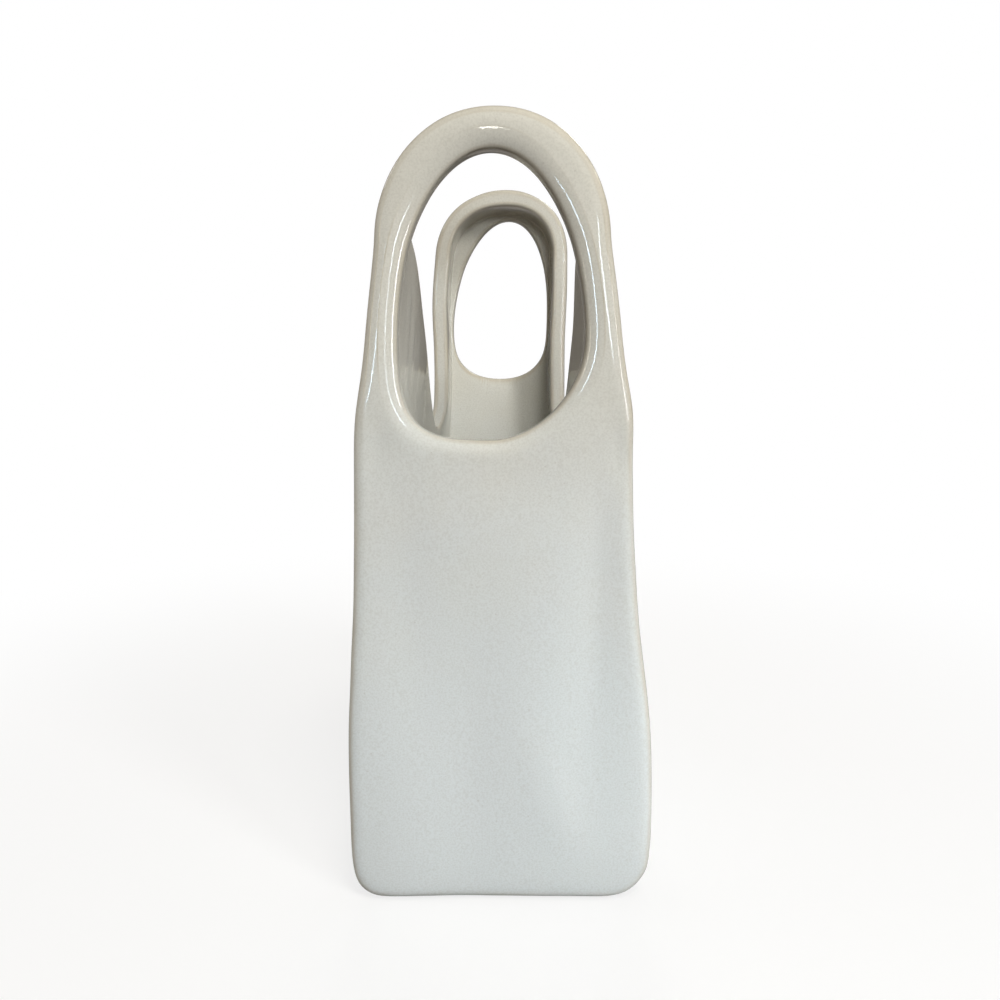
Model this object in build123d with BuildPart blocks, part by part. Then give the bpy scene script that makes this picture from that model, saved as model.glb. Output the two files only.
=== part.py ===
"""Hanging wall vase in the form of a carrier bag, slab-built in glazed clay.

Front faces -Y, the flat back faces +Y, Z is up, and the origin is the middle
of the underside. All sizes are in millimetres.
"""

import os

from build123d import *

os.makedirs("parts", exist_ok=True)

# Overall size and slab thicknesses
height = 250.0
depth = 120.0
wall = 6.5
front_thick = 9.0
base_thick = 7.0

# Front outline: half widths at named heights, the right flank fuller than the left
left_belly = 48.2
right_belly = 52.8
waist_half = 43.3
shoulder_half = 41.1
arm_half = 36.5
crown_half = 31.9

# Rear outline: narrower all the way up, with a squarer arch
rear_belly = 38.0
rear_waist_half = 29.0
rear_shoulder_half = 26.8
rear_arm_half = 26.6
rear_crown_half = 24.6
rear_shift = 2.0

# Heights of the outline's stations: shares of the height, and drops from the top
belly_z = 0.144 * height
waist_z = 0.52 * height
shoulder_z = 0.66 * height
arm_z = 0.788 * height
crown_drop = 26.3
rear_crown_drop = 17.0

# Front opening and hanging hole, both egg-shaped with a flattened bottom
bar_leg = 8.1
bar_top = 13.0
opening_wide_z = 0.736 * height
scoop = 10.0
hole_frame = 1.8
strap_top = 10.0
hang_wide_z = 0.792 * height
hang_rim_rise = 17.0
egg_corner_out = 0.87
egg_corner_up = 0.25

# Side view of the mouth: the web's edge by shares of the way to the strap
strap_depth = 24.0
web_mid_share = 0.47
web_mid_rise = 48.0
web_low_share = 0.816
web_low_rise = 11.0
notch_drop = 12.0
notch_round = 5.0

# Seams and softened edges
rear_seam_rise = 10.0
corner_round = 7.0
edge_round = 3.5
rim_round = 2.2
hole_round = 0.8
coil = 6.0
coil_below_notch = 7.0

# Places that follow from the sizes above
front_y = -depth / 2
back_y = depth / 2
strap_y = back_y - strap_depth
seam_y = front_y + front_thick
rear_seam_y = back_y - wall
axis_x = (left_belly - right_belly) / 2
rear_x = axis_x + rear_shift
crown_z = height - crown_drop
rear_crown_z = height - rear_crown_drop
opening_half = arm_half - bar_leg
opening_apex_z = height - bar_top
opening_rim_z = shoulder_z - scoop
hang_half = rear_arm_half + (arm_half - rear_arm_half) * wall / depth - wall - hole_frame
hang_apex_z = height - strap_top
notch_z = shoulder_z - notch_drop
hang_rim_z = opening_rim_z + hang_rim_rise
rear_seam_z = hang_rim_z + rear_seam_rise
web_reach = strap_y - seam_y
web_mid = (seam_y + web_mid_share * web_reach, notch_z + web_mid_rise)
web_low = (seam_y + web_low_share * web_reach, notch_z + web_low_rise)
coil_foot_z = base_thick + coil
coil_top_z = notch_z - coil_below_notch
wide = depth + height


def plane_at(y):
    """Upright plane facing the front, at depth y."""
    return Plane.XZ.offset(-y)


def mix(front, rear, y):
    """Value at depth y between its front and rear values."""
    share = (y - front_y) / depth
    return front + (rear - front) * share


def bag_outline(y, inset, floor_z):
    """Closed bag outline at depth y, drawn inset from the outer skin."""
    middle = mix(axis_x, rear_x, y)
    top = (middle, height - inset)
    flanks = []
    for side, belly in ((-1, left_belly), (1, right_belly)):
        half_belly = mix(belly, rear_belly, y) - inset
        half_waist = mix(waist_half, rear_waist_half, y) - inset
        half_shoulder = mix(shoulder_half, rear_shoulder_half, y) - inset
        half_arm = mix(arm_half, rear_arm_half, y) - inset
        half_crown = mix(crown_half, rear_crown_half, y) - 0.85 * inset
        flanks.append([
            (middle + side * half_belly * 0.98, floor_z),
            (middle + side * half_belly, belly_z),
            (middle + side * half_waist, waist_z),
            (middle + side * half_shoulder, shoulder_z),
            (middle + side * half_arm, arm_z),
            (middle + side * half_crown, mix(crown_z, rear_crown_z, y) - 0.5 * inset),
            top,
        ])
    left, right = flanks
    with BuildLine() as line:
        Line(left[0], right[0])
        Spline(*right, tangents=[(0.05, 1), (-1, 0)])
        Spline(*left, tangents=[(-0.05, 1), (1, 0)])
    make_face(line.edges())


def egg_outline(middle, half, apex_z, wide_z, rim_z):
    """Egg with a tall rounded top and a flattened bottom."""
    corner_x = half * egg_corner_out
    corner_z = rim_z + egg_corner_up * (wide_z - rim_z)
    with BuildLine() as line:
        EllipticalCenterArc((middle, wide_z), half, apex_z - wide_z, start_angle=0, arc_size=180)
        Spline(
            (middle - half, wide_z),
            (middle - corner_x, corner_z),
            (middle, rim_z),
            (middle + corner_x, corner_z),
            (middle + half, wide_z),
            tangents=[(0, -1), (1, -1), (1, 0), (1, 1), (0, 1)],
        )
    make_face(line.edges())


def upright_at(edge, y):
    """True for an edge that lies wholly in the upright plane at depth y."""
    box = edge.bounding_box()
    return abs(box.min.Y - y) < 0.02 and abs(box.max.Y - y) < 0.02


def above(edge, z):
    """True for an edge that stays above height z."""
    return edge.bounding_box().min.Z > z


def keep(low, high, mode=Mode.INTERSECT):
    """Block between two corners, that keeps or removes what lies inside it."""
    sizes = [b - a for a, b in zip(low, high)]
    middle = [(a + b) / 2 for a, b in zip(low, high)]
    with Locations(tuple(middle)):
        Box(*sizes, mode=mode)


# The hollow inside the slabs, before the mouth is cut
with BuildPart() as hollow:
    for y in (seam_y, rear_seam_y):
        with BuildSketch(plane_at(y)):
            bag_outline(y, wall, base_thick)
    loft(ruled=True)

# The whole joined form, from which each slab and handle is taken
with BuildPart() as form:
    for y in (front_y, back_y):
        with BuildSketch(plane_at(y)):
            bag_outline(y, 0.0, -base_thick)
    loft(ruled=True)
    keep((-wide, -wide, 0), (wide, wide, height + wall))
    add(hollow.part, mode=Mode.SUBTRACT)

    # Mouth: sloping webs behind the front handle, a notch, then the upright strap
    with BuildSketch(Plane.YZ):
        with BuildLine():
            web_start = (seam_y, crown_z)
            notch_end = (strap_y - notch_round, notch_z)
            strap_foot = (strap_y, notch_z + notch_round)
            Spline(
                web_start,
                web_mid,
                web_low,
                notch_end,
                tangents=[(1, -0.35), (1, -0.05)],
            )
            TangentArc(notch_end, strap_foot, tangent=(1, 0))
            Polyline(
                strap_foot,
                (strap_y, height + wall),
                (seam_y, height + wall),
                web_start,
            )
        make_face()
    extrude(amount=depth, both=True, mode=Mode.SUBTRACT)

    # Front opening through the bar and front wall, hanging hole through the back
    with BuildSketch(plane_at(front_y)):
        egg_outline(axis_x, opening_half, opening_apex_z, opening_wide_z, opening_rim_z)
    extrude(amount=-front_thick, mode=Mode.SUBTRACT)
    with BuildSketch(plane_at(back_y)):
        egg_outline(rear_x, hang_half, hang_apex_z, hang_wide_z, hang_rim_z)
    extrude(amount=wall, mode=Mode.SUBTRACT)

    # Rounded corners along the foot
    foot = [e for e in edges() if e.bounding_box().max.Z < 0.01]
    fillet([e for e in foot if e.bounding_box().size.Y > wall], corner_round)

    # Soften the rim of the mouth all round
    mouth = []
    for e in edges():
        box = e.bounding_box()
        sloping = seam_y + rim_round < box.max.Y < strap_y + 0.1 and box.size.Y > rim_round
        if above(e, notch_z - 0.1) and (sloping or upright_at(e, strap_y) and box.size.Z > wall):
            mouth.append(e)
    fillet(mouth, rim_round)

    # Outer front and back edges of the two flat faces
    for y in (front_y, back_y):
        fillet([e for e in edges() if upright_at(e, y) and not above(e, notch_z)], edge_round)

    # Both rims of each opening
    for y, high_z, radius in (
        (front_y, opening_apex_z, rim_round),
        (seam_y, opening_apex_z, rim_round),
        (rear_seam_y, hang_apex_z, hole_round),
        (back_y, hang_apex_z, rim_round),
    ):
        loops = [e for e in edges() if upright_at(e, y) and above(e, notch_z)]
        loops = [e for e in loops if e.bounding_box().max.Z < high_z + 0.1]
        fillet([e for e in loops if e.bounding_box().size.X > 2 * wall], radius)

# Solid that fills the lower hollow, less its corners: what is left is the seam coils
with BuildPart() as hollow_core:
    add(hollow.part)
    keep((-wide, -wide, 0), (wide, wide, coil_top_z))
    chamfer([e for e in edges() if not above(e, base_thick + 1) or e.bounding_box().size.Z > coil], coil)

with BuildPart() as seam_coils:
    add(hollow.part)
    add(hollow_core.part, mode=Mode.SUBTRACT)

with BuildPart() as base_slab:
    add(form.part)
    keep((-wide, -wide, -1), (wide, wide, base_thick))
base_slab.part.label = "base_slab"
export_step(base_slab.part, "parts/base_slab.step")

with BuildPart() as front_wall:
    add(form.part)
    keep((-wide, front_y - 1, base_thick), (wide, seam_y, shoulder_z))
front_wall.part.label = "front_wall"
export_step(front_wall.part, "parts/front_wall.step")

# Legs of the front bar, square at the back where the webs of the side walls meet them
with BuildPart() as bar_legs:
    add(form.part)
    keep((-wide, front_y - 1, shoulder_z), (wide, seam_y, crown_z))

with BuildPart() as front_handle:
    add(form.part)
    keep((-wide, front_y - 1, crown_z), (wide, seam_y, height + 1))
    back_edges = [e for e in edges() if upright_at(e, seam_y)]
    fillet([e for e in back_edges if e.bounding_box().max.Z > height - bar_top / 2], rim_round)
    add(bar_legs.part)
front_handle.part.label = "front_handle"
export_step(front_handle.part, "parts/front_handle.step")

with BuildPart() as back_wall:
    add(form.part)
    keep((-wide, rear_seam_y, base_thick), (wide, back_y + 1, rear_seam_z))
back_wall.part.label = "back_wall"
export_step(back_wall.part, "parts/back_wall.step")

with BuildPart() as rear_handle:
    add(form.part)
    keep((-wide, strap_y - 1, rear_seam_z), (wide, back_y + 1, height + 1))
rear_handle.part.label = "rear_handle"
export_step(rear_handle.part, "parts/rear_handle.step")

with BuildPart() as left_side_wall:
    add(form.part)
    keep((-wide, seam_y, base_thick), (axis_x, rear_seam_y, height + 1))
    keep((-wide, strap_y - 1, rear_seam_z), (wide, back_y + 1, height + 2), Mode.SUBTRACT)
left_side_wall.part.label = "left_side_wall"
export_step(left_side_wall.part, "parts/left_side_wall.step")

with BuildPart() as right_side_wall:
    add(form.part)
    keep((axis_x, seam_y, base_thick), (wide, rear_seam_y, height + 1))
    keep((-wide, strap_y - 1, rear_seam_z), (wide, back_y + 1, height + 2), Mode.SUBTRACT)
right_side_wall.part.label = "right_side_wall"
export_step(right_side_wall.part, "parts/right_side_wall.step")

with BuildPart() as base_seam_coil:
    add(seam_coils.part)
    keep((-wide, -wide, 0), (wide, wide, coil_foot_z))
base_seam_coil.part.label = "base_seam_coil"
export_step(base_seam_coil.part, "parts/base_seam_coil.step")

with BuildPart() as front_left_seam_coil:
    add(seam_coils.part)
    keep((-wide, -wide, coil_foot_z), (axis_x, 0, coil_top_z))
front_left_seam_coil.part.label = "front_left_seam_coil"
export_step(front_left_seam_coil.part, "parts/front_left_seam_coil.step")

with BuildPart() as front_right_seam_coil:
    add(seam_coils.part)
    keep((axis_x, -wide, coil_foot_z), (wide, 0, coil_top_z))
front_right_seam_coil.part.label = "front_right_seam_coil"
export_step(front_right_seam_coil.part, "parts/front_right_seam_coil.step")

with BuildPart() as rear_left_seam_coil:
    add(seam_coils.part)
    keep((-wide, 0, coil_foot_z), (axis_x, wide, coil_top_z))
rear_left_seam_coil.part.label = "rear_left_seam_coil"
export_step(rear_left_seam_coil.part, "parts/rear_left_seam_coil.step")

with BuildPart() as rear_right_seam_coil:
    add(seam_coils.part)
    keep((axis_x, 0, coil_foot_z), (wide, wide, coil_top_z))
rear_right_seam_coil.part.label = "rear_right_seam_coil"
export_step(rear_right_seam_coil.part, "parts/rear_right_seam_coil.step")
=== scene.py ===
import math
import bpy
import bmesh
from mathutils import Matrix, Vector, noise


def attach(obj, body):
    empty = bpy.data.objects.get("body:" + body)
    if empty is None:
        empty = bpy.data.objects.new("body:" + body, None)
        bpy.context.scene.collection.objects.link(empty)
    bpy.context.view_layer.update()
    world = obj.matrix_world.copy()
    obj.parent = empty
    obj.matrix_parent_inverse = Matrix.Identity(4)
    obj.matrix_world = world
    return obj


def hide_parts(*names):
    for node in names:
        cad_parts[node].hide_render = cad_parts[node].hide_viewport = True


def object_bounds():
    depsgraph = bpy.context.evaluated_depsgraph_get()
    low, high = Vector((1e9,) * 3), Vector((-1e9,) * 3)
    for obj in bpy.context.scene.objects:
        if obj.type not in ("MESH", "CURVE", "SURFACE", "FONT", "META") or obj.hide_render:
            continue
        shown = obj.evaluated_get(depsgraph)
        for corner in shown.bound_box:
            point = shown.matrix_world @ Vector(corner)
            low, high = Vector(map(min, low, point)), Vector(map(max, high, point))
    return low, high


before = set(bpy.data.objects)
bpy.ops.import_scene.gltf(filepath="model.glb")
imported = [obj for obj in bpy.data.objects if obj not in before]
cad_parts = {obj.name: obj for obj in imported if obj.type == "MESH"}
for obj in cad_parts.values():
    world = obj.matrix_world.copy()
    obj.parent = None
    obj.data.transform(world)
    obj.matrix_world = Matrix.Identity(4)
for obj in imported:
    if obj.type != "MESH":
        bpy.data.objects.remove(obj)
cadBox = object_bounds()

mm = 0.001
print("frame loaded:", len(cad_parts), "nodes")


def hexColour(code):
    # sRGB hex to linear, as the sockets want it
    parts = [int(code[i:i + 2], 16) / 255 for i in (1, 3, 5)]
    return tuple(c / 12.92 if c <= 0.04045 else ((c + 0.055) / 1.055) ** 2.4 for c in parts) + (1.0,)


def addNode(tree, kind, settings=None, inputs=None):
    # one node, its settings, and its inputs as values or as links from other sockets
    node = tree.nodes.new(kind)
    for name, value in (settings or {}).items():
        setattr(node, name, value)
    for name, value in (inputs or {}).items():
        if isinstance(value, bpy.types.NodeSocket):
            tree.links.new(value, node.inputs[name])
        else:
            node.inputs[name].default_value = value
    return node


def clearSelection():
    if bpy.context.object and bpy.context.object.mode != "OBJECT":
        bpy.ops.object.mode_set(mode="OBJECT")
    bpy.ops.object.select_all(action="DESELECT")


def activate(obj):
    clearSelection()
    bpy.context.view_layer.objects.active = obj
    obj.select_set(True)


def ramp(low, high, value):
    # smooth step from 0 to 1
    t = min(1.0, max(0.0, (value - low) / (high - low)))
    return t * t * (3 - 2 * t)


def mix(a, b, t):
    return a + (b - a) * t


def curveAt(points, at):
    # smooth curve through (position, value) pairs, level past its ends
    if at <= points[0][0]:
        return points[0][1]
    if at >= points[-1][0]:
        return points[-1][1]
    for i in range(len(points) - 1):
        (x1, y1), (x2, y2) = points[i], points[i + 1]
        if x1 <= at <= x2:
            x0, y0 = points[max(i - 1, 0)]
            x3, y3 = points[min(i + 2, len(points) - 1)]
            run = x2 - x1
            m1 = (y2 - y0) / (x2 - x0) * run
            m2 = (y3 - y1) / (x3 - x1) * run
            t = (at - x1) / run
            return ((2 * t ** 3 - 3 * t ** 2 + 1) * y1 + (t ** 3 - 2 * t ** 2 + t) * m1
                    + (-2 * t ** 3 + 3 * t ** 2) * y2 + (t ** 3 - t ** 2) * m2)


# the bag form, in millimetres: half widths from the middle line at heights above the foot
bagForm = {
    "frontMiddle": -2.3, "rearMiddle": -0.3, "depth": 120.0, "top": 249.8,
    "leftFront": ((0, 47.6), (12, 48.3), (34, 48.6), (63, 47.9), (81, 46.5), (97, 45.3), (113, 44.4),
                  (130, 43.8), (148, 43.3), (157, 43.0), (165, 42.1), (174, 40.2), (183, 38.9),
                  (197, 37.2), (212, 34.9)),
    "rightFront": ((0, 51.6), (12, 52.8), (34, 53.2), (63, 51.7), (81, 49.0), (97, 46.8), (113, 45.3),
                   (130, 44.3), (148, 43.3), (157, 43.2), (165, 42.6), (174, 40.5), (183, 39.0),
                   (197, 37.3), (212, 34.9)),
    "leftRear": ((0, 37.4), (36, 38.0), (63, 36.4), (97, 32.4), (130, 29.2), (150, 28.0), (165, 28.1),
                 (182, 28.4), (197, 28.4), (212, 27.8), (222, 26.7)),
    "rightRear": ((0, 37.4), (36, 38.0), (63, 36.4), (97, 32.4), (130, 28.8), (150, 27.2), (165, 26.6),
                  (182, 26.5), (197, 26.4), (212, 26.1), (222, 25.7)),
    "leftStrap": ((150.8, 30.6), (157, 28.6), (165, 28.2), (185, 28.2), (197, 28.8), (205, 29.0),
                  (214, 28.8), (222, 28.3)),
    "rightStrap": ((150.8, 30.2), (157, 28.5), (165, 28.1), (185, 28.0), (197, 28.1), (205, 28.1),
                   (214, 27.9), (222, 27.5)),
    "footPoints": 11, "footLevel": 3.0,  # the foot's width is read at this level
    "cornerAngles": (22.5, 45, 67.5),
    "leftCorner": (10.0, 7.0), "rightCorner": (13.0, 7.0),  # radius at the front and at the back
    "frontArch": {"start": 212.0, "leftPower": 2.04, "rightPower": 2.12},
    "rearArch": {"start": 222.0, "leftPower": 2.2, "rightPower": 2.2},
    "archAngles": (84, 78, 72, 64, 56, 48, 40, 32, 24, 16, 8),
    "levels": (12, 24, 38, 52, 66, 80, 94, 108, 122, 136, 145, 150.8, 157, 163, 169, 176, 184, 193, 203, 212),
    "notch": 150.8,
    "strapFront": 96.0, "strapBlend": 8.0,  # the strap takes its own width over this height
    "rearLean": 0.045, "leanFrom": 195.0,
    # height and depth of the webs' sloped edges
    "leftWeb": ((150.8, 88.0), (157, 84.0), (164, 79.0), (170, 74.8), (177, 70.0), (185, 64.2), (194, 56.8),
                (203, 47.8), (212, 37.0), (218.6, 25.0), (222, 17.0), (225, 11.0), (226.5, 9.0)),
    "rightWeb": ((150.8, 88.0), (157, 82.0), (163, 76.0), (170, 69.0), (177, 62.0), (186, 54.0), (197, 46.0),
                 (205, 40.0), (212, 34.0), (218.6, 25.0), (222, 18.0), (225, 11.0), (226.5, 9.0)),
    "webTop": 226.5, "webStep": 1.5,
    "webOpen": (9.0, 22.0),  # a web of this depth stands clear of the bar
    "frontEgg": {"half": 28.1, "wide": 184.0, "apex": 238.2, "rim": 154.8, "bowl": (0.58, 1.08),
                 "sag": 0.0, "lean": 0.0, "shift": -0.6},
    "rearEgg": {"half": 20.9, "wide": 197.0, "apex": 241.0, "rim": 172.6, "bowl": (0.45, 0.52),
                "sag": 6.5, "lean": 0.09, "shift": -0.2},
    "eggPoints": 480,
    "wall": 6.5, "floor": 7.0, "frontSlab": 9.0, "rearSlab": 6.5, "barBack": 3.4,
    "edgeRound": {"foot": 3.2, "corner": 3.6, "body": 3.4, "bar": 1.9, "rear": 2.6},
    "barFrom": (152.0, 178.0),
    "barCrown": {"sunk": 1.3, "wide": 5.6, "from": (150.0, 174.0)},
    "rimProfile": ((0.0, 2.9), (0.25, 1.9), (1.7, 1.05), (3.4, 0.38), (5.2, 0.06)),  # from the hole, sunk
    "rimTop": 0.85, "rimTopFrom": (212.0, 236.0),  # the rim is flatter under the arch
    "mouthRoll": 1.7, "mouthInsets": ((1.2, 1.2), (6.1, 2.5)),  # outside and inside, free and at the bar
    "near": 0.01,
}


def stationList():
    # one entry for each point round the outline: foot, right corner and flank, arch, left flank and corner
    steps = bagForm["footPoints"]
    around = [("foot", -1 + 2 * i / (steps - 1), 0) for i in range(steps)]
    rising = [("corner", angle) for angle in bagForm["cornerAngles"]]
    rising += [("flank", z) for z in bagForm["levels"]]
    rising += [("arch", angle) for angle in bagForm["archAngles"]]
    around += [(kind, 1, value) for kind, value in rising]
    around.append(("arch", 1, 0))
    around += [(kind, -1, value) for kind, value in reversed(rising)]
    return around


stations = stationList()


def halfAt(side, z, depth, strap=False):
    # half width of a flank at a height and a depth; the strap stands straight up from the notch
    hand = "right" if side > 0 else "left"
    front, rear = curveAt(bagForm[hand + "Front"], z), curveAt(bagForm[hand + "Rear"], z)
    half = mix(front, rear, depth / bagForm["depth"])
    if strap:
        notch = bagForm["notch"]
        half = mix(half, curveAt(bagForm[hand + "Strap"], z), ramp(notch, notch + bagForm["strapBlend"], z))
    return half


def leanAt(rear, z):
    # the strap leans a little to the right above its legs
    return bagForm["rearLean"] * max(0.0, z - bagForm["leanFrom"]) if rear else 0.0


def footPoint(station, depth, inset, middle):
    # a point of the flat foot or of one of its round corners, as (x, z)
    kind, side, value = station
    share = depth / bagForm["depth"]
    lift = bagForm["floor"] / bagForm["wall"] * inset
    rightRound, leftRound = mix(*bagForm["rightCorner"], share), mix(*bagForm["leftCorner"], share)
    right = middle + halfAt(1, bagForm["footLevel"], depth)
    left = middle - halfAt(-1, bagForm["footLevel"], depth)
    if kind == "foot":
        return mix(left + leftRound, right - rightRound, (side + 1) / 2), lift
    radius = rightRound if side > 0 else leftRound
    centre = right - radius if side > 0 else left + radius
    angle = math.radians(value)
    reach = radius - inset
    x = centre + side * reach * math.sin(angle)
    return x, radius - reach * math.cos(angle) + (lift - inset) * math.cos(angle)


def outlinePoint(station, depth, inset, rear, z=None):
    # a point of the outline at a depth, drawn in by the inset, as (x, z)
    kind, side, value = station
    middle = mix(bagForm["frontMiddle"], bagForm["rearMiddle"], depth / bagForm["depth"])
    if kind in ("foot", "corner"):
        return footPoint(station, depth, inset, middle)
    if kind == "flank":
        level, notch = value if z is None else z, bagForm["notch"]
        if rear and level > notch:
            stretch = (bagForm["rearArch"]["start"] - notch) / (bagForm["frontArch"]["start"] - notch)
            level = notch + (level - notch) * stretch
        return middle + side * (halfAt(side, level, depth, rear) - inset) + leanAt(rear, level), level
    arch = bagForm["rearArch"] if rear else bagForm["frontArch"]
    start = arch["start"]
    power = arch["rightPower"] if side > 0 else arch["leftPower"]
    half = halfAt(side, start, depth, rear)
    angle = math.radians(value)
    x = math.sin(angle) ** (2 / power) * half
    rise = bagForm["top"] - start
    up = max(0.0, math.cos(angle)) ** (2 / power) * rise
    normal = Vector((x / half ** 2, up / rise ** 2)).normalized()
    return middle + side * (x - normal.x * inset) + leanAt(rear, start + up), start + up - normal.y * inset


def eggLine(egg, middle):
    # fine polyline of an egg-shaped opening: half ellipse above, flattened bowl below
    line = []
    for i in range(bagForm["eggPoints"]):
        angle = 2 * math.pi * i / bagForm["eggPoints"]
        c, v = math.cos(angle), math.sin(angle)
        if v < 0:
            bowl = egg["bowl"][0 if c < 0 else 1]
            c, v = (math.copysign(abs(k) ** bowl, k) for k in (c, v))
        z = egg["wide"] + v * (egg["apex"] - egg["wide"] if v > 0 else egg["wide"] - egg["rim"])
        z += egg["sag"] * c * c * max(0.0, -v)
        x = middle + egg["shift"] + egg["half"] * c + egg["lean"] * max(0.0, z - egg["wide"])
        line.append(Vector((x, z)))
    return line


def nearestOn(line, point):
    return min(line, key=lambda p: (p - point).length_squared)


def webEdge(side, z):
    return curveAt(bagForm["rightWeb" if side > 0 else "leftWeb"], z)


def webNormal(side, z):
    # outward normal of the web's edge as (depth, height)
    if z >= bagForm["webTop"]:
        return Vector((1, 0))
    if z <= bagForm["notch"]:
        return Vector((0, 1))
    reach = bagForm["webStep"]
    step = Vector((webEdge(side, z + reach) - webEdge(side, z - reach), 2 * reach))
    return Vector((step.y, -step.x)).normalized()


def turnAt(station, rear):
    # radius of the outer edge: the bar has a tighter edge than the body, and its crown does the rest
    kind, _, value = station
    sizes = bagForm["edgeRound"]
    if kind in ("foot", "corner"):
        return sizes[kind]
    if rear:
        return sizes["rear"]
    return mix(sizes["body"], sizes["bar"], 1 if kind == "arch" else ramp(*bagForm["barFrom"], value))


def crownAt(gap, z):
    # how far the bar's face falls back near its outer edge, so that it looks rolled
    crown = bagForm["barCrown"]
    return crown["sunk"] * max(0.0, 1 - gap / crown["wide"]) ** 2 * ramp(*crown["from"], z)


def isUpper(station):
    kind, _, value = station
    return kind == "arch" or kind == "flank" and value >= bagForm["notch"] - bagForm["near"]


def atNotch(station):
    kind, _, value = station
    return kind == "flank" and abs(value - bagForm["notch"]) < bagForm["near"]


def frontTop(station):
    # height of a station at the very front
    return outlinePoint(station, 0, 0, False)[1]


frontEgg = eggLine(bagForm["frontEgg"], bagForm["frontMiddle"])
rearEgg = eggLine(bagForm["rearEgg"], bagForm["rearMiddle"])

# where the rings of the wall lie: shares of the way from hole to edge or from front to back,
# rims as (distance from the hole, depth in from the face), and depths as (above, below the notch)
wallRings = {
    "edge": (1.0, 0.25),
    "frontFace": (0.08, 0.24, 0.4, 0.56, 0.72, 0.88), "frontGap": 5.2,
    "side": (0, 0.12, 0.28, 0.44, 0.6, 0.76, 0.9, 1.0),
    "sideEnd": 87.0, "sideLeast": 0.6, "sideEase": (0.6, 1.0),
    "strapLower": 94.0, "strap": ((106.0, 104.0), (116.4, 116.4)),
    "backFace": (0.85, 0.66, 0.47, 0.28, 0.12), "backGap": 2.4,
    "backRim": ((2.2, 0.0), (0.6, 0.6), (0.0, 2.4), (0.0, 4.5)),
    "innerBackRim": (0.3, 0.5), "innerBack": (0.05, 0.3, 0.55, 0.8, 1.0), "innerBackGap": 0.5,
    "innerStrap": 1.6,
    "innerSide": (1.0, 0.9, 0.76, 0.6, 0.44, 0.28, 0.12, 0.02),
    "innerFront": (1.0, 0.82, 0.62, 0.42, 0.2), "innerFrontInset": 0.05, "innerFrontGap": 1.7,
    "innerFrontRim": ((1.5, 0.0), (0.3, 0.35), (0.0, 1.5)),
}


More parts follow.
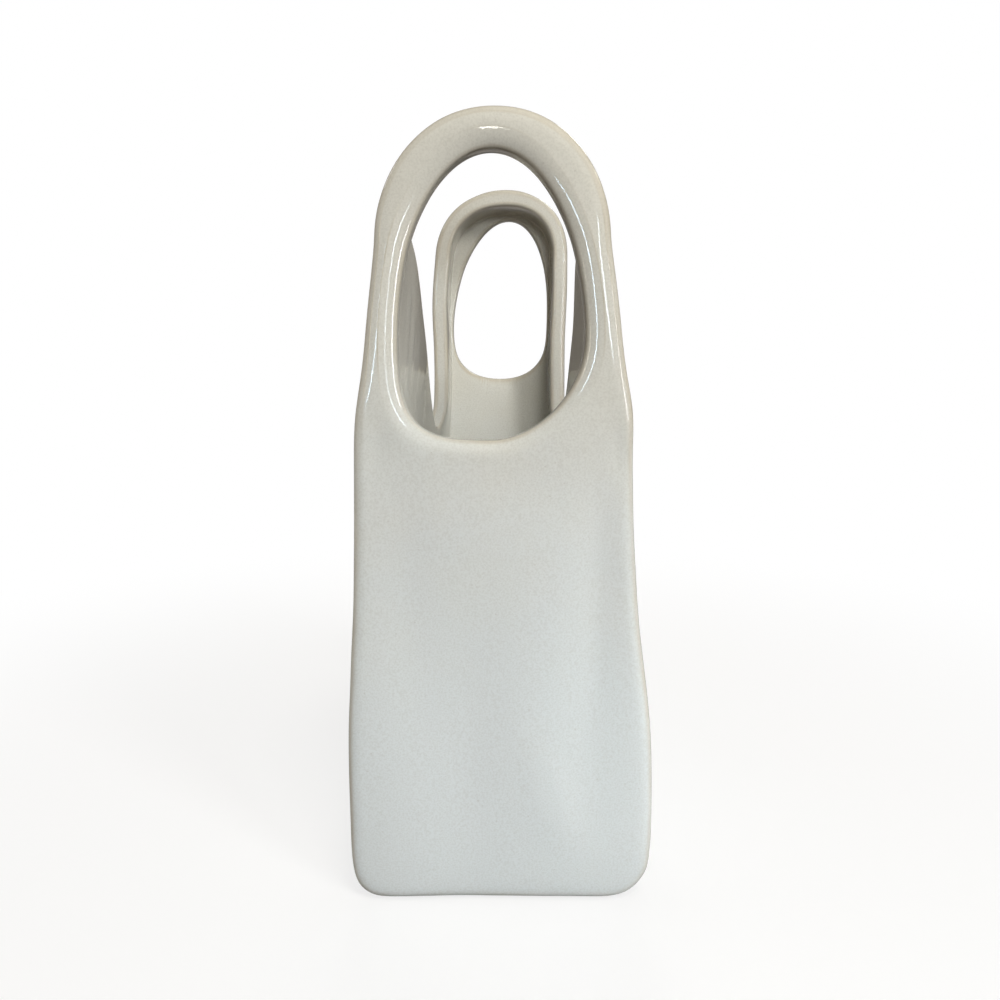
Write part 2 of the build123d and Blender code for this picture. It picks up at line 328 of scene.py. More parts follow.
def ringPlan():
    # every ring of the shell in order, front opening to back and round the inside to the front again
    plan = []
    depthAll, slab, wall = bagForm["depth"], bagForm["frontSlab"], bagForm["wall"]
    rearIn = depthAll - bagForm["rearSlab"]
    roll = bagForm["mouthRoll"]
    strapEdge = bagForm["strapFront"] + roll, wallRings["strapLower"]

    def faceRing(name, egg, y, fromEgg=None, fromEdge=None, share=None, edgeInset=1.0, eggGap=0.0,
                 base=0.0, rear=False):
        ring = []
        for st in stations:
            turn = turnAt(st, rear)
            edge = Vector(outlinePoint(st, y, base, rear))
            hole = nearestOn(egg, edge)
            way = (edge - hole).normalized()
            if fromEgg is not None:
                p = hole + way * fromEgg
            elif fromEdge is not None:
                p = Vector(outlinePoint(st, y, base + fromEdge * turn, rear))
            else:
                inner = hole + way * eggGap
                outer = Vector(outlinePoint(st, y, base + edgeInset * turn, rear))
                p = inner.lerp(outer, share)
            sink = 0.0
            if fromEdge is not None and fromEdge < 1:
                sink = fromEdge * turn * (-1 if rear else 1)
            ring.append((p.x, y + sink, p.y))
        plan.append((name, ring))

    def shifted(y):
        name, ring = plan[-1]
        plan[-1] = (name, [(x, y, z) for x, _, z in ring])

    def webSpan(st, inner):
        # depth and height of the last point before the mouth's rim
        kind, side, value = st
        if not isUpper(st):
            return wallRings["sideEnd"], None
        z = value if kind == "flank" else frontTop(st)
        n = webNormal(side, z)
        if kind == "flank":
            level = z if atNotch(st) else z - roll * n.y
            return webEdge(side, z) - roll * n.x, level
        return max(webEdge(side, z) - roll * n.x, slab if inner else 0), None

    def sideRing(name, share, inner):
        ring = []
        for st in stations:
            end, level = webSpan(st, inner)
            begin = turnAt(st, False) + crownAt(0, frontTop(st))
            y = mix(slab if inner else begin, max(end, begin + wallRings["sideLeast"]), share)
            pull = wall if inner else 0.0
            if inner and st[0] == "arch":
                opened = ramp(*bagForm["webOpen"], webEdge(st[1], frontTop(st)))
                pull = mix(mix(wall, bagForm["barBack"], share), wall, opened)
            z = None if level is None else mix(st[2], level, ramp(*wallRings["sideEase"], share))
            x, zz = outlinePoint(st, y, pull, False, z)
            ring.append((x, y, zz))
        plan.append((name, ring))

    def strapRing(name, yUpper, yLower, inset):
        ring = []
        for st in stations:
            y = yUpper if isUpper(st) and not atNotch(st) else yLower
            x, z = outlinePoint(st, y, inset, True)
            ring.append((x, y, z))
        plan.append((name, ring))

    # front face, from the rim of the opening out to the edge, then its crown
    for gap, sunk in bagForm["rimProfile"]:
        faceRing("frontRim", frontEgg, 0, fromEgg=gap)
        name, ring = plan[-1]
        plan[-1] = (name, [(x, sunk * mix(1, bagForm["rimTop"], ramp(*bagForm["rimTopFrom"], z)), z)
                           for x, _, z in ring])
    for share in wallRings["frontFace"]:
        faceRing("frontFace", frontEgg, 0, share=share, eggGap=wallRings["frontGap"])
    for turned in wallRings["edge"]:
        faceRing("frontEdge", frontEgg, 0, fromEdge=turned)
    edges = [Vector(outlinePoint(st, 0, 0, False)) for st in stations]
    for number, (name, ring) in enumerate(plan):
        plan[number] = (name, [(x, y + crownAt((Vector((x, z)) - e).length, z), z)
                               for (x, y, z), e in zip(ring, edges)])

    # sides and strap
    for share in wallRings["side"]:
        sideRing("sideLast" if share == 1 else "side", share, False)
    strapRing("strapFirst", *strapEdge, 0.0)
    for depths in wallRings["strap"]:
        strapRing("strap", *depths, 0.0)

    # back face, from the edge in to the hanging hole
    for turned in reversed(wallRings["edge"]):
        faceRing("backEdge", rearEgg, depthAll, fromEdge=turned, rear=True)
    for share in wallRings["backFace"]:
        faceRing("backFace", rearEgg, depthAll, share=share, eggGap=wallRings["backGap"], rear=True)
    for gap, sunk in wallRings["backRim"]:
        faceRing("backRim", rearEgg, depthAll, fromEgg=gap, rear=True)
        shifted(depthAll - sunk)

    # inside: back slab, strap and side walls, front slab
    gap, sunk = wallRings["innerBackRim"]
    faceRing("innerBackRim", rearEgg, rearIn, fromEgg=gap, base=wall, rear=True)
    shifted(rearIn + sunk)
    for share in wallRings["innerBack"]:
        faceRing("innerBack", rearEgg, rearIn, share=share, edgeInset=0.0,
                 eggGap=wallRings["innerBackGap"], base=wall, rear=True)
    strapIn = rearIn - wallRings["innerStrap"]
    strapRing("innerStrap", strapIn, strapIn, wall)
    strapRing("innerStrap", *wallRings["strap"][0], wall)
    strapRing("innerStrapLast", *strapEdge, wall)
    for share in wallRings["innerSide"]:
        sideRing("innerSideFirst" if share == 1 else "innerSide", share, True)
    for share in wallRings["innerFront"]:
        faceRing("innerFront", frontEgg, slab, share=share, edgeInset=wallRings["innerFrontInset"],
                 eggGap=wallRings["innerFrontGap"], base=wall)
    for gap, sunk in wallRings["innerFrontRim"]:
        faceRing("innerFrontRim", frontEgg, slab, fromEgg=gap, base=wall)
        shifted(slab - sunk)
    return plan


def pickEdges(obj, test):
    # selects only the edges that pass the test, in edge mode so that no neighbour drops out
    bpy.ops.mesh.select_mode(type="EDGE")
    bpy.ops.mesh.select_all(action="DESELECT")
    mesh = bmesh.from_edit_mesh(obj.data)
    for e in mesh.edges:
        if test(e):
            e.select_set(True)
    bmesh.update_edit_mesh(obj.data)


def pickFaces(obj, test):
    # selects only the faces that pass the test
    bpy.ops.mesh.select_mode(type="FACE")
    bpy.ops.mesh.select_all(action="DESELECT")
    mesh = bmesh.from_edit_mesh(obj.data)
    for f in mesh.faces:
        if test(f):
            f.select_set(True)
    bmesh.update_edit_mesh(obj.data)


def shellLayers(shell):
    # the mesh in edit mode, and each vertex's place round the outline and along the wall
    mesh = bmesh.from_edit_mesh(shell.data)
    return mesh, mesh.verts.layers.int["station"], mesh.verts.layers.int["ring"]


def setPoint(v, x, y, z):
    # the plan counts depth from the front, the frame from the middle
    v.co = Vector((x, y - bagForm["depth"] / 2, z)) * mm


def placeRing(shell, ring, number):
    # puts the selected vertices where the ring says, by their station number
    mesh, stationLayer, ringLayer = shellLayers(shell)
    for v in mesh.verts:
        if v.select:
            setPoint(v, *ring[v[stationLayer]])
            v[ringLayer] = number


def openMouth(shell, gaps):
    # takes out the wall between the webs and the strap, outside and inside
    _, stationLayer, ringLayer = shellLayers(shell)
    pickFaces(shell, lambda f: {v[ringLayer] for v in f.verts} in gaps
              and all(isUpper(stations[v[stationLayer]]) for v in f.verts))
    bpy.ops.mesh.delete(type="ONLY_FACE")
    pickEdges(shell, lambda e: e.is_wire)
    bpy.ops.mesh.delete(type="EDGE")


def rollMouth(shell, names, gaps):
    # turns both edges of the mouth over and bridges them into a soft rim
    rimNumber = len(names)  # past the rings of the plan
    for gap, (inset, barInset) in zip(gaps, bagForm["mouthInsets"]):
        _, _, ringLayer = shellLayers(shell)
        pickEdges(shell, lambda e: e.is_boundary and all(v[ringLayer] in gap for v in e.verts))
        bpy.ops.mesh.extrude_edges_move()
        mesh, stationLayer, ringLayer = shellLayers(shell)
        for v in mesh.verts:
            if not v.select:
                continue
            st = stations[v[stationLayer]]
            if atNotch(st):
                y = v.co.y / mm + bagForm["depth"] / 2
                x, z = outlinePoint(st, y, inset, False, st[2] + bagForm["mouthRoll"])
            elif names[v[ringLayer]] in ("sideLast", "innerSideFirst"):
                y = webEdge(st[1], st[2] if st[0] == "flank" else frontTop(st))
                pull = mix(barInset, inset, ramp(*bagForm["webOpen"], y))
                x, z = outlinePoint(st, y, pull, False)
            else:
                y = bagForm["strapFront"]
                x, z = outlinePoint(st, y, inset, True)
            setPoint(v, x, y, z)
            v[ringLayer] = rimNumber
        bmesh.update_edit_mesh(shell.data)
    pickEdges(shell, lambda e: e.is_boundary)
    bpy.ops.mesh.bridge_edge_loops(number_cuts=2, interpolation="LINEAR")


def makeShell():
    # a circle is set on the rim of the front opening and extruded ring by ring round the whole wall
    plan = ringPlan()
    names = [name for name, _ in plan]
    clearSelection()
    bpy.ops.mesh.primitive_circle_add(vertices=len(stations), radius=bagForm["frontEgg"]["half"] * mm,
                                      location=(0, 0, 0))
    shell = bpy.context.object
    shell.name = "vaseShell"
    bpy.ops.object.mode_set(mode="EDIT")
    layers = bmesh.from_edit_mesh(shell.data).verts.layers.int
    for name in ("station", "ring"):
        layers.new(name)
    mesh, stationLayer, _ = shellLayers(shell)
    for i, v in enumerate(mesh.verts):
        v[stationLayer] = i
    for number, (_, ring) in enumerate(plan):
        if number:
            bpy.ops.mesh.extrude_edges_move()
        placeRing(shell, ring, number)
    bmesh.update_edit_mesh(shell.data)

    # the last ring meets the first
    pickEdges(shell, lambda e: e.is_boundary)
    bpy.ops.mesh.bridge_edge_loops()
    gaps = [{names.index(a), names.index(b)}
            for a, b in (("sideLast", "strapFirst"), ("innerStrapLast", "innerSideFirst"))]
    openMouth(shell, gaps)
    rollMouth(shell, names, gaps)
    bpy.ops.mesh.select_all(action="SELECT")
    bpy.ops.mesh.normals_make_consistent(inside=False)
    bpy.ops.object.mode_set(mode="OBJECT")
    soft = shell.modifiers.new("clay", "SUBSURF")
    soft.levels = soft.render_levels = 2
    bpy.ops.object.modifier_apply(modifier=soft.name)
    bpy.ops.object.shade_smooth()
    print("shell:", len(shell.data.polygons), "faces")
    return shell


shell = makeShell()


# what the hands left: slow bends of the slabs, a finer ripple, and dents in the front, all in millimetres
noise.seed_set(5)  # the same marks on each run
handMarks = {
    "bend": 0.55, "bendSize": 62.0,
    "ripple": 0.16, "rippleSize": 19.0, "rippleShift": Vector((7, 3, 5)),
    "pressed": 0.6, "deepest": 1.8,
    "frontSkin": (-60.0, -52.5),  # the dents fade out between these depths
    "dents": (
        # x, z, half width, half height, slant, depth
        (-12.0, 52.0, 12.0, 58.0, 0.00, 1.15),
        (30.0, 98.0, 7.5, 62.0, 0.02, 1.00),
        (-29.0, 100.0, 8.0, 66.0, -0.04, 0.60),
        (17.0, 36.0, 8.0, 26.0, -0.34, -0.70),
        (8.0, 140.0, 26.0, 12.0, 0.00, 0.60),
        (36.5, 150.0, 3.4, 9.0, -0.15, 0.75),
        (-37.5, 153.0, 4.0, 8.0, 0.10, 0.50),
    ),
    # sag of the side slabs: how far, how long the waves are, and where it starts and ends
    "slack": 1.5, "slackMean": 0.55, "slackSize": (60.0, 38.0, 84.0), "slackShift": Vector((2, 9, 4)),
    "slackDepth": ((-52.0, -34.0), (34.0, 52.0)), "slackHeight": ((8.0, 30.0), (120.0, 158.0)),
    "slackSide": (16.0, 30.0),
    "runs": (
        # glaze that ran down inside the left web: y, upper z, lower z, half width, height
        (-31.0, 206.0, 158.0, 1.5, 0.30),
        (-22.0, 196.0, 166.0, 2.0, 0.42),
        (-12.0, 190.0, 156.0, 1.4, 0.26),
        (2.0, 181.0, 152.0, 1.8, 0.30),
    ),
    "runWall": -14.0, "runFacing": 0.5, "runFoot": 3.0, "runHead": 8.0, "runSway": 0.9, "runWave": 7.0,
    "beads": (
        # drops that set in the notches: x, y, z, half width, height
        (-29.5, 31.0, 151.5, 2.2, 1.3),
        (-26.0, 34.0, 150.5, 1.6, 0.9),
        (28.0, 32.0, 151.0, 2.0, 0.5),
    ),
    "footKept": 9.0, "topKept": 3.0, "backKept": 6.0,  # the marks die away towards these faces
}


def dentAt(p):
    # how far the front is pressed in at a point
    sink = handMarks["pressed"]
    for x, z, wide, tall, slant, deep in handMarks["dents"]:
        dx = (p.x - x - slant * (p.z - z)) / wide
        dz = (p.z - z) / tall
        sink += deep * math.exp(-dx * dx - dz * dz)
    return min(max(sink, 0.0), handMarks["deepest"])


def sagAt(p):
    # how far a side slab sags inwards between its seams
    (yLow, yHigh), (zLow, zHigh) = handMarks["slackDepth"], handMarks["slackHeight"]
    loose = ramp(*yLow, p.y) * (1 - ramp(*yHigh, p.y)) * ramp(*zLow, p.z) * (1 - ramp(*zHigh, p.z))
    wave = noise.noise(Vector(c / k for c, k in zip(p, handMarks["slackSize"])) + handMarks["slackShift"])
    sag = handMarks["slack"] * loose * max(0.0, handMarks["slackMean"] + wave)
    return math.copysign(sag, p.x) * ramp(*handMarks["slackSide"], abs(p.x))


def markByHand(obj):
    low, high = Vector(cadBox[0]), Vector(cadBox[1])
    normals = [v.normal.copy() for v in obj.data.vertices]
    for v, normal in zip(obj.data.vertices, normals):
        p = v.co / mm
        push = noise.noise_vector(p / handMarks["bendSize"]) * handMarks["bend"]
        ripple = noise.noise_vector(p / handMarks["rippleSize"] + handMarks["rippleShift"])
        push += ripple * handMarks["ripple"]
        front = 1 - ramp(*handMarks["frontSkin"], p.y)
        if front > 0:
            push.y += front * dentAt(p)
        push.x -= sagAt(p)
        if p.x < handMarks["runWall"] and normal.x > handMarks["runFacing"]:
            for y, upper, lower, wide, rise in handMarks["runs"]:
                off = (p.y - y - handMarks["runSway"] * math.sin(p.z / handMarks["runWave"] + y)) / wide
                along = ramp(lower - handMarks["runFoot"], lower + handMarks["runFoot"], p.z)
                along *= 1 - ramp(upper - handMarks["runHead"], upper, p.z)
                push.x += rise * along * math.exp(-off * off)
        for x, y, z, wide, rise in handMarks["beads"]:
            away = (p - Vector((x, y, z))).length / wide
            push += normal * rise * math.exp(-away * away)
        fromTop = cadBox[1][2] / mm - p.z
        push.z *= ramp(0.0, handMarks["footKept"], p.z) * ramp(0.0, handMarks["topKept"], fromTop)
        push.y *= ramp(0.0, handMarks["backKept"], bagForm["depth"] / 2 - p.y)
        v.co = Vector(min(max(c, a), b) for c, a, b in zip((p + push) * mm, low, high))
    obj.data.update()


def thinEdges(obj, passes=3):
    # how sharply the clay turns outwards, per millimetre, evened out over its neighbours:
    # glaze pulls away from such edges and lets the clay show
    mesh = bmesh.new()
    mesh.from_mesh(obj.data)
    turns = []
    for v in mesh.verts:
        away = [v.co - e.other_vert(v).co for e in v.link_edges]
        bends = [2 * d.dot(v.normal) / max(d.length_squared, 1e-12) for d in away]
        turns.append(sum(bends) / max(len(away), 1) * mm)
    for _ in range(passes):
        turns = [(turns[v.index] + sum(turns[e.other_vert(v).index] for e in v.link_edges))
                 / (len(v.link_edges) + 1) for v in mesh.verts]
    mesh.free()
    layer = obj.data.attributes.new("thinGlaze", "FLOAT", "POINT")
    layer.data.foreach_set("value", turns)
    print("edges: sharpest turn", round(max(turns), 2), "per mm")


markByHand(shell)
thinEdges(shell)
print("hand marks done")


# each slab and handle is cut from the joined form just behind its seam, in millimetres;
# a plane has its axis, its place and the side that stays, and strap is a level cut of the strap alone
seams = {"front": -50.1, "back": 52.6, "floor": 8.0, "bar": 165.0, "middle": -1.0,
         "strap": 182.0, "strapFrom": 22.0,  # its height, and the depth behind which it stands
         "snap": 0.001, "crumb": 0.05, "flat": 0.002}
sideCuts = (("y", seams["front"], 1), ("y", seams["back"], -1), ("z", seams["floor"], 1),
            ("strap", seams["strap"], -1))
slabCuts = {
    "front_wall": (("y", seams["front"], -1), ("z", seams["floor"], 1), ("z", seams["bar"], -1)),
    "front_handle": (("y", seams["front"], -1), ("z", seams["bar"], 1)),
    "back_wall": (("y", seams["back"], 1), ("z", seams["floor"], 1), ("z", seams["strap"], -1)),
    "rear_handle": (("z", seams["strap"], 1), ("y", seams["strapFrom"], 1)),
    "left_side_wall": sideCuts + (("x", seams["middle"], -1),),
    "right_side_wall": sideCuts + (("x", seams["middle"], 1),),
    "base_slab": (("z", seams["floor"], -1),),
}


def cutSlab(form, node, cuts):
    # a copy of the form, cut down by planes and closed at each cut
    piece = form.copy()
    piece.data = form.data.copy()
    piece.name = node + "_glazed"
    piece.data.name = piece.name
    bpy.context.scene.collection.objects.link(piece)
    activate(piece)
    bpy.ops.object.mode_set(mode="EDIT")
    planes = []
    for axis, at, side in cuts:
        # a strap cut leaves the webs in front of the notch alone
        pickFaces(piece, lambda f: axis != "strap" or f.calc_center_median().y > seams["strapFrom"] * mm)
        normal = Vector((axis == "x", axis == "y", axis in ("z", "strap")))
        planes.append((normal, at * mm))
        bpy.ops.mesh.bisect(plane_co=normal * at * mm, plane_no=normal, use_fill=False,
                            clear_inner=side > 0, clear_outer=side < 0, threshold=seams["snap"] * mm)
        pickEdges(piece, lambda e: e.is_boundary)
        if any(e.select for e in bmesh.from_edit_mesh(piece.data).edges):
            # crumbs of edges along the cut would stop the fill
            bpy.ops.mesh.remove_doubles(threshold=seams["crumb"] * mm)
            pickEdges(piece, lambda e: e.is_boundary)
            bpy.ops.mesh.fill(use_beauty=False)
    bpy.ops.mesh.select_all(action="SELECT")
    bpy.ops.mesh.delete_loose()
    bpy.ops.mesh.select_all(action="SELECT")
    bpy.ops.mesh.normals_make_consistent(inside=False)
    bpy.ops.object.mode_set(mode="OBJECT")
    # the skin keeps the shading of the whole form, so that the glaze runs over the seams
    skin = piece.data.attributes["skinNormal"].data
    points = [v.co.copy() for v in piece.data.vertices]
    normals = [None] * len(piece.data.loops)
    for f in piece.data.polygons:
        flat = any(all(abs(points[i].dot(normal) - at) < seams["flat"] * mm for i in f.vertices)
                   for normal, at in planes)
        for i in f.loop_indices:
            fromSkin = skin[piece.data.loops[i].vertex_index].vector.normalized()
            normals[i] = f.normal.copy() if flat else fromSkin
    piece.data.normals_split_custom_set(normals)
    piece.data.attributes.remove(piece.data.attributes["skinNormal"])
    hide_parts(node)
    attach(piece, "root")
    print("slab", node, len(piece.data.polygons), "faces")
    return piece


skinNormal = shell.data.attributes.new("skinNormal", "FLOAT_VECTOR", "POINT")
for v, normal in zip(skinNormal.data, shell.data.vertex_normals):
    v.vector = normal.vector
for name in ("station", "ring"):
    shell.data.attributes.remove(shell.data.attributes[name])
slabs = [cutSlab(shell, node, cuts) for node, cuts in slabCuts.items()]
bpy.data.objects.remove(shell)


# the seam coils are soft rolls that a finger smeared into the corners, sizes in millimetres
coilForm = {"merge": 0.01, "grain": 0.7, "smears": 14, "smearing": 0.5, "ripple": 0.22, "rippleSize": 8.0}


def smearCoil(node):
    # a copy of the plain coil, given an even skin and worn smooth
    piece = bpy.data.objects.new(node + "_smeared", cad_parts[node].data.copy())
    piece.data.name = piece.name
    bpy.context.scene.collection.objects.link(piece)
    activate(piece)
    bpy.ops.object.mode_set(mode="EDIT")
    bpy.ops.mesh.select_all(action="SELECT")
    bpy.ops.mesh.remove_doubles(threshold=coilForm["merge"] * mm)
    bpy.ops.object.mode_set(mode="OBJECT")
    skin = piece.modifiers.new("skin", "REMESH")
    skin.mode = "VOXEL"
    skin.voxel_size = coilForm["grain"] * mm
    bpy.ops.object.modifier_apply(modifier=skin.name)
    worn = piece.modifiers.new("worn", "SMOOTH")
    worn.factor = coilForm["smearing"]
    worn.iterations = coilForm["smears"]
    bpy.ops.object.modifier_apply(modifier=worn.name)
    for v in piece.data.vertices:
        v.co += noise.noise_vector(v.co / mm / coilForm["rippleSize"]) * coilForm["ripple"] * mm
    bpy.ops.object.shade_smooth()
    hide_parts(node)
    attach(piece, "root")
    print("coil", node, len(piece.data.polygons), "faces")
    return piece


coils = [smearCoil(node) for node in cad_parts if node.endswith("_coil")]


# clear-white glaze over pale stoneware, dipped and fired: wet gloss, with the colour of the light painted in,
# warm up high on the handles and cooler low down, with iron specks and a faint orange peel; sizes in
# millimetres
glazeLook = {
    "paintedWarmLight": "#dad7cc", "paintedCoolLight": "#d7dbda", "change": (55.0, 235.0),  # heights between which the painted light colour turns from cool to warm
    "mottleSize": 34.0, "mottleSway": 100.0,
    "speck": "#9a8a78", "speckSize": 1.5, "speckPick": 0.72, "speckWide": 0.20, "speckRim": (-0.06, 0.12),
    "speckShare": 0.22,
    "grain": "#a9a497", "grainSize": 0.6, "grainCut": (0.38, 0.72), "grainShare": 0.22,
    "edge": "#b7a98e", "edgeTurn": (0.03, 0.22), "edgeShare": 0.55, "edgeCut": (0.3, 0.7), "edgeLeast": 0.3,
    "clay": "#c9b9a0", "clayFacing": (-0.93, -0.99), "clayHeight": (1.2, 0.6),
    "glossy": 0.06, "bare": 0.85, "ior": 1.52,
    "peelSize": 5.0, "peelStrength": 0.10, "peelDepth": 0.4,
}


def makeGlaze():
    look = glazeLook
    mat = bpy.data.materials.new("glazed stoneware")
    mat.use_nodes = True
    tree = mat.node_tree
    bsdf = tree.nodes["Principled BSDF"]
    place = addNode(tree, "ShaderNodeTexCoord").outputs["Object"]
    height = addNode(tree, "ShaderNodeSeparateXYZ", inputs={"Vector": place}).outputs["Z"]

    # slow mottling, which sways where the painted cool and warm light colours meet
    mottle = addNode(tree, "ShaderNodeTexNoise", inputs={
        "Vector": place, "Scale": 1000 / look["mottleSize"], "Detail": 3.0, "Roughness": 0.55})
    sway = addNode(tree, "ShaderNodeMath", {"operation": "MULTIPLY_ADD"},
                   {0: mottle.outputs["Fac"], 1: look["mottleSway"] * mm, 2: height})
    low, high = ((z + look["mottleSway"] / 2) * mm for z in look["change"])
    share = addNode(tree, "ShaderNodeMapRange", {"interpolation_type": "SMOOTHSTEP"},
                    {"Value": sway.outputs[0], "From Min": low, "From Max": high})
    # painted light colour: cool low down, warm up high
    coat = addNode(tree, "ShaderNodeMix", {"data_type": "RGBA"}, {
        "Factor": share.outputs["Result"], 6: hexColour(look["paintedCoolLight"]), 7: hexColour(look["paintedWarmLight"])})

    # iron specks about half a millimetre wide, only some of the cells
    cells = addNode(tree, "ShaderNodeTexVoronoi", {"feature": "F1"},
                    {"Vector": place, "Scale": 1000 / look["speckSize"]})
    pick = addNode(tree, "ShaderNodeSeparateColor", inputs={"Color": cells.outputs["Color"]})
    size = addNode(tree, "ShaderNodeMapRange", inputs={
        "Value": pick.outputs["Red"], "From Min": look["speckPick"], "To Max": look["speckWide"]})
    near = addNode(tree, "ShaderNodeMath", {"operation": "SUBTRACT"},
                   {0: size.outputs["Result"], 1: cells.outputs["Distance"]})
    rimLow, rimHigh = look["speckRim"]
    speck = addNode(tree, "ShaderNodeMapRange", inputs={
        "Value": near.outputs[0], "From Min": rimLow, "From Max": rimHigh, "To Max": look["speckShare"]})

    # fine grain of the clay under the glaze, drawn a little coarse so that it shows
    grain = addNode(tree, "ShaderNodeTexNoise", inputs={
        "Vector": place, "Scale": 1000 / look["grainSize"], "Detail": 1.0})
    grainLow, grainHigh = look["grainCut"]
    grainShare = addNode(tree, "ShaderNodeMapRange", inputs={
        "Value": grain.outputs["Fac"], "From Min": grainLow, "From Max": grainHigh,
        "To Max": look["grainShare"]})

    # on sharp edges the glaze is thin and the warm clay shows through, unevenly
    turn = addNode(tree, "ShaderNodeAttribute", {"attribute_name": "thinGlaze"}).outputs["Fac"]
    turnLow, turnHigh = look["edgeTurn"]
    thinned = addNode(tree, "ShaderNodeMapRange", {"interpolation_type": "SMOOTHSTEP"}, {
        "Value": turn, "From Min": turnLow, "From Max": turnHigh, "To Max": look["edgeShare"]})
    cutLow, cutHigh = look["edgeCut"]
    uneven = addNode(tree, "ShaderNodeMapRange", inputs={
        "Value": mottle.outputs["Fac"], "From Min": cutLow, "From Max": cutHigh, "To Min": look["edgeLeast"]})
    worn = addNode(tree, "ShaderNodeMath", {"operation": "MULTIPLY"},
                   {0: thinned.outputs["Result"], 1: uneven.outputs["Result"]})

    # the underside was wiped clean for the kiln shelf: bare matt clay
    normal = addNode(tree, "ShaderNodeNewGeometry").outputs["Normal"]
    facing = addNode(tree, "ShaderNodeSeparateXYZ", inputs={"Vector": normal})
    turnedLow, turnedHigh = look["clayFacing"]
    down = addNode(tree, "ShaderNodeMapRange", inputs={
        "Value": facing.outputs["Z"], "From Min": turnedLow, "From Max": turnedHigh})
    footHigh, footLow = look["clayHeight"]
    foot = addNode(tree, "ShaderNodeMapRange", inputs={
        "Value": height, "From Min": footHigh * mm, "From Max": footLow * mm})
    bare = addNode(tree, "ShaderNodeMath", {"operation": "MULTIPLY"},
                   {0: down.outputs["Result"], 1: foot.outputs["Result"]})

    # thin edges, grain, specks and bare clay lie over the glaze in this order
    colour = coat.outputs[2]
    for name, amount in (("edge", worn.outputs[0]), ("grain", grainShare.outputs["Result"]),
                         ("speck", speck.outputs["Result"]), ("clay", bare.outputs[0])):
        layer = addNode(tree, "ShaderNodeMix", {"data_type": "RGBA"},
                        {"Factor": amount, 6: colour, 7: hexColour(look[name])})
        colour = layer.outputs[2]
    gloss = addNode(tree, "ShaderNodeMapRange", inputs={
        "Value": bare.outputs[0], "To Min": look["glossy"], "To Max": look["bare"]})

    # orange peel of the fired glaze
    peel = addNode(tree, "ShaderNodeTexNoise", inputs={
        "Vector": place, "Scale": 1000 / look["peelSize"], "Detail": 2.0})
    bump = addNode(tree, "ShaderNodeBump", inputs={
        "Strength": look["peelStrength"], "Distance": look["peelDepth"] * mm, "Height": peel.outputs["Fac"]})
    tree.links.new(colour, bsdf.inputs["Base Color"])
    tree.links.new(gloss.outputs["Result"], bsdf.inputs["Roughness"])
    tree.links.new(bump.outputs["Normal"], bsdf.inputs["Normal"])
    bsdf.inputs["IOR"].default_value = look["ior"]
    return mat


glaze = makeGlaze()
for piece in slabs + coils:
    piece.data.materials.clear()
    piece.data.materials.append(glaze)
print("glaze on", len(slabs), "slabs and", len(coils), "seam coils")

# a phone's wide view from a hand's length away, looking down a little
eye = {"lens": 26.4, "sensor": 36, "place": (-0.0003, -0.280, 0.174), "down": 9.58}
cameraData = bpy.data.cameras.new("camera")
cameraData.lens = eye["lens"]
cameraData.sensor_width = eye["sensor"]
camera = bpy.data.objects.new("camera", cameraData)
camera.location = eye["place"]
camera.rotation_euler = (math.radians(90 - eye["down"]), 0, 0)
bpy.context.scene.collection.objects.link(camera)
bpy.context.scene.camera = camera

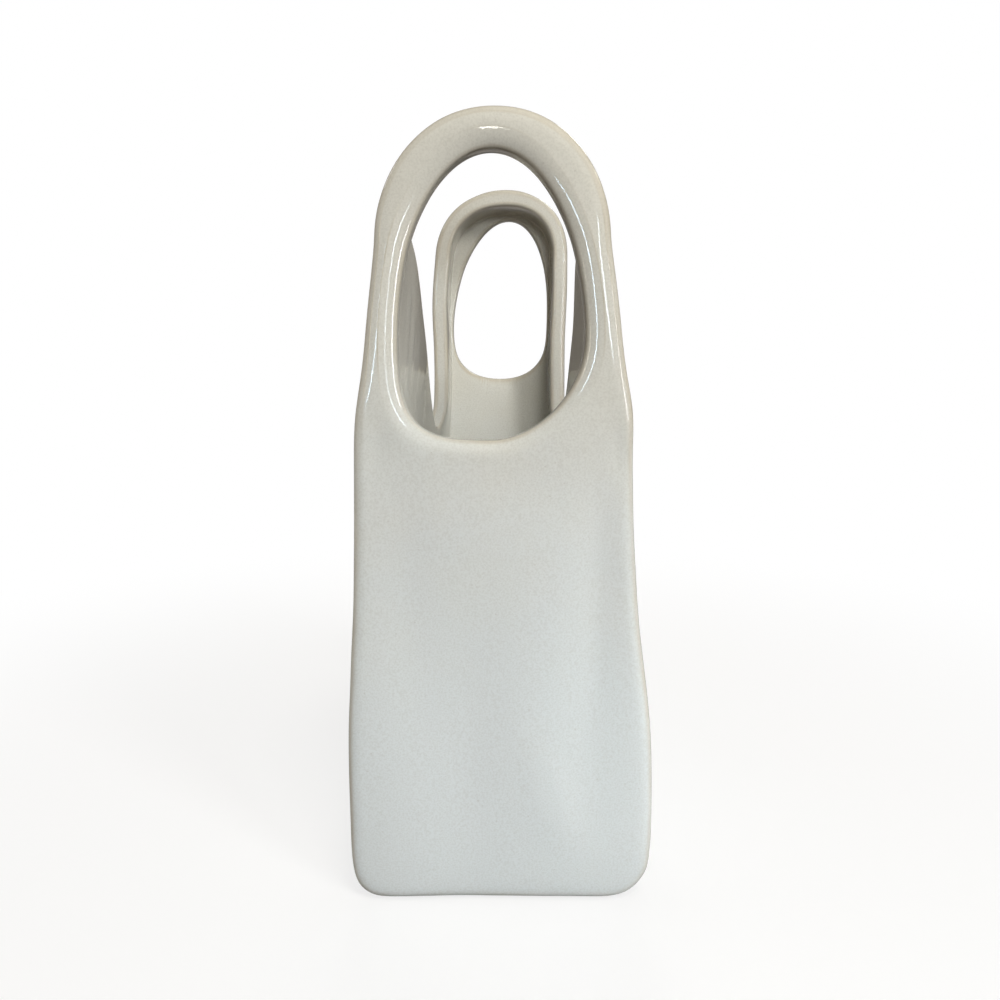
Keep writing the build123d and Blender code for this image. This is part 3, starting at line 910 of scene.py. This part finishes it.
# floor and studio: white to the eye, dark brown to the light that bounces off it
studio = {
    "floorSeen": "#f7f7f6", "floorBounce": "#33241a", "floorSize": 8, "floorDrop": 0.0002, "floorMatt": 0.9,
    "shadow": (0.10, 0.50), "shadowLift": 0.74,
    "sky": 0.09, "skyTint": "#c8a474", "skyGloss": 0.15,
    "lamps": (
        # name, place, aim, width, height, watts, colour, what it does
        ("keyRight", (0.54, -0.55, 0.58), (0.0, 0.0, 0.13), 0.18, 0.18, 3.3, "#fdfcf9", "light"),
        ("keyHigh", (0.16, -0.45, 0.95), (0.0, 0.0, 0.20), 0.20, 0.20, 3.3, "#fdfaf2", "light"),
        ("fillFront", (0.17, -1.02, 0.40), (0.0, 0.0, 0.16), 0.26, 0.26, 3.9, "#f0f5f8", "light"),
        ("lowRight", (0.44, -0.42, 0.04), (0.02, -0.06, 0.03), 0.16, 0.08, 0.08, "#eef5fa", "light"),
        ("lowLeft", (-0.80, 0.06, 0.07), (0.0, 0.0, 0.09), 0.30, 0.14, 3.2, "#f6f4f0", "light"),
        ("softBack", (0.02, 0.95, 0.32), (0.0, 0.06, 0.12), 0.45, 0.45, 7.4, "#f8f6f2", "light"),
        ("windowBack", (0.30, 0.70, 0.72), (0.0, 0.06, 0.15), 0.10, 0.22, 0.55, "#fffdf6", "gloss"),
        ("windowLeftSide", (-0.70, 0.22, 0.74), (0.0, 0.0, 0.15), 0.12, 0.20, 0.32, "#f6faff", "gloss"),
        ("windowRightSide", (0.72, 0.12, 0.72), (0.0, 0.0, 0.15), 0.12, 0.20, 0.40, "#fffaf0", "gloss"),
        ("windowRightNear", (0.24, -0.70, 0.30), (0.0, -0.06, 0.20), 0.03, 0.22, 0.35, "#e4f4ff", "gloss"),
        ("windowRightFar", (0.50, -0.56, 0.25), (0.0, -0.06, 0.20), 0.05, 0.27, 0.8, "#fbfbff", "gloss"),
        ("windowLeftNear", (-0.27, -0.71, 0.26), (0.0, -0.06, 0.20), 0.03, 0.22, 0.4, "#cdeaff", "gloss"),
        ("windowLeftFar", (-0.48, -0.55, 0.32), (0.0, -0.06, 0.20), 0.05, 0.28, 0.25, "#fff4d8", "gloss"),
        ("lampHigh", (-0.03, -0.90, 0.80), (0.0, 0.0, 0.20), 0.03, 0.02, 0.02, "#fffaf0", "gloss"),
        ("lampMiddle", (-0.02, -0.90, 0.24), (0.0, -0.06, 0.25), 0.06, 0.03, 0.0003, "#fffaf0", "gloss"),
    ),
    "beams": {"lowRight": 36, "lampMiddle": 9},  # degrees; a narrow beam needs far fewer watts
    "openBeam": 180,
}


def whiteToEye(tree):
    # 1 where the surround is looked at; the gloss mirrors its white more weakly,
    # as in a room that is pale on one side
    path = addNode(tree, "ShaderNodeLightPath")
    seen = addNode(tree, "ShaderNodeMath", {"operation": "MULTIPLY"},
                   {0: path.outputs["Is Glossy Ray"], 1: studio["skyGloss"]})
    for ray in ("Is Camera Ray", "Is Transmission Ray"):
        seen = addNode(tree, "ShaderNodeMath", {"operation": "MAXIMUM"},
                       {0: path.outputs[ray], 1: seen.outputs[0]})
    return seen.outputs[0]


clearSelection()
bpy.ops.mesh.primitive_plane_add(size=studio["floorSize"], location=(0, 0, -studio["floorDrop"]))
floor = bpy.context.object
floor.name = "floor"
paper = bpy.data.materials.new("white paper")
paper.use_nodes = True
tree = paper.node_tree
matt = tree.nodes["Principled BSDF"]
matt.inputs["Roughness"].default_value = studio["floorMatt"]
seen = whiteToEye(tree)
shade = addNode(tree, "ShaderNodeMix", {"data_type": "RGBA"}, {
    "Factor": seen, 6: hexColour(studio["floorBounce"]), 7: hexColour(studio["floorSeen"])})
tree.links.new(shade.outputs[2], matt.inputs["Base Color"])
# away from the vase the paper is seen as plain white, near it the shadow stays
fromVase = addNode(tree, "ShaderNodeVectorMath", {"operation": "LENGTH"},
                   {0: addNode(tree, "ShaderNodeTexCoord").outputs["Object"]})
shadowNear, shadowFar = studio["shadow"]
fade = addNode(tree, "ShaderNodeMapRange", {"interpolation_type": "SMOOTHSTEP"}, {
    "Value": fromVase.outputs["Value"], "From Min": shadowNear, "From Max": shadowFar,
    "To Min": studio["shadowLift"]})
lift = addNode(tree, "ShaderNodeMath", {"operation": "MULTIPLY"}, {0: fade.outputs["Result"], 1: seen})
glow = addNode(tree, "ShaderNodeEmission", inputs={"Color": (1, 1, 1, 1), "Strength": 1.0})
paperMix = addNode(tree, "ShaderNodeMixShader",
                   inputs={0: lift.outputs[0], 1: matt.outputs[0], 2: glow.outputs[0]})
tree.links.new(paperMix.outputs[0], tree.nodes["Material Output"].inputs["Surface"])
floor.data.materials.append(paper)

world = bpy.data.worlds.new("studio")
world.use_nodes = True
bpy.context.scene.world = world
tree = world.node_tree
white = addNode(tree, "ShaderNodeBackground", inputs={"Color": (1, 1, 1, 1), "Strength": 1.0})
dim = addNode(tree, "ShaderNodeBackground",
              inputs={"Color": hexColour(studio["skyTint"]), "Strength": studio["sky"]})
both = addNode(tree, "ShaderNodeMixShader",
               inputs={0: whiteToEye(tree), 1: dim.outputs[0], 2: white.outputs[0]})
tree.links.new(both.outputs[0], tree.nodes["World Output"].inputs["Surface"])

# light lamps are never mirrored, and gloss lamps are only mirrored
for name, place, aim, wide, tall, watts, colour, task in studio["lamps"]:
    lamp = bpy.data.lights.new(name, "AREA")
    lamp.shape = "ELLIPSE" if task == "gloss" else "RECTANGLE"
    lamp.size, lamp.size_y = wide, tall
    lamp.energy = watts
    lamp.spread = math.radians(studio["beams"].get(name, studio["openBeam"]))
    lamp.color = hexColour(colour)[:3]
    holder = bpy.data.objects.new(name, lamp)
    holder.location = place
    holder.visible_glossy = task == "gloss"
    holder.visible_diffuse = task == "light"
    holder.rotation_euler = (Vector(aim) - Vector(place)).to_track_quat("-Z", "Y").to_euler()
    bpy.context.scene.collection.objects.link(holder)
print("studio lit by", len(studio["lamps"]), "lamps")

bpy.context.scene.view_settings.view_transform = "Standard"
